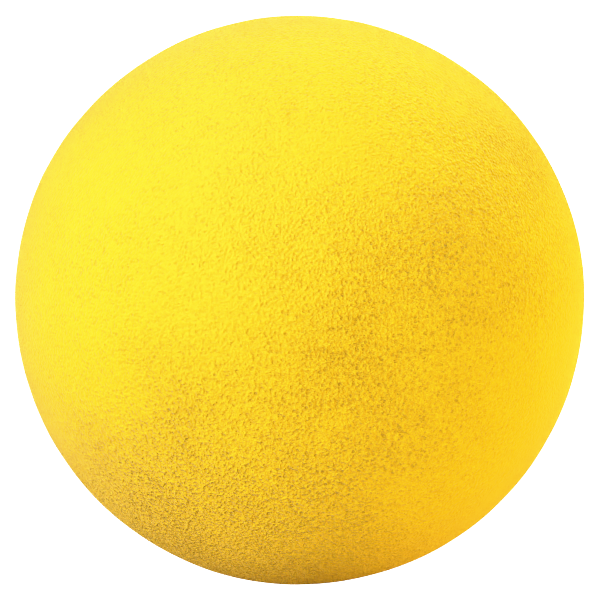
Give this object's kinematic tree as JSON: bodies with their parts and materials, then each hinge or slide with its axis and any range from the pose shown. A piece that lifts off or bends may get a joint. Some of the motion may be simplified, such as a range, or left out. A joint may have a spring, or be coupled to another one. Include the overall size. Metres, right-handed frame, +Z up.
{
  "type": "stress ball",
  "caption": "Soft foam ball for squeezing in the hand: a cellular foam core inside a thin moulded skin, with a small flat gate mark underneath.",
  "frame": {"origin": "middle of the flat gate mark that the ball rests on", "axes": "+Z up through the ball's centre, +Y from the front skin to the back skin and square to the parting line, +X along the parting line"},
  "size_m": [0.07, 0.07, 0.0696],
  "materials": {
    "foam": "open-cell flexible foam, self-coloured yellow, cut face at the gate",
    "skin": "matte yellow foam skin with fine pits"
  },
  "bodies": {
    "core": {"foam_core": "foam"},
    "front": {"skin_front": "skin"},
    "back": {"skin_back": "skin"}
  },
  "joints": [
    {"name": "front_squeeze", "type": "slide", "parent": "core", "child": "front", "axis": [0, 1, 0], "range_m": [0, 0.011], "stiffness_N_per_m": 3600, "deforming": ["skin_front", "foam_core"]},
    {"name": "back_squeeze", "type": "slide", "parent": "core", "child": "back", "axis": [0, -1, 0], "range_m": [0, 0.011], "stiffness_N_per_m": 3600, "deforming": ["skin_back", "foam_core"]}
  ],
  "couplings": [
    {"joint": "back_squeeze", "follows": "front_squeeze", "ratio": 1}
  ]
}
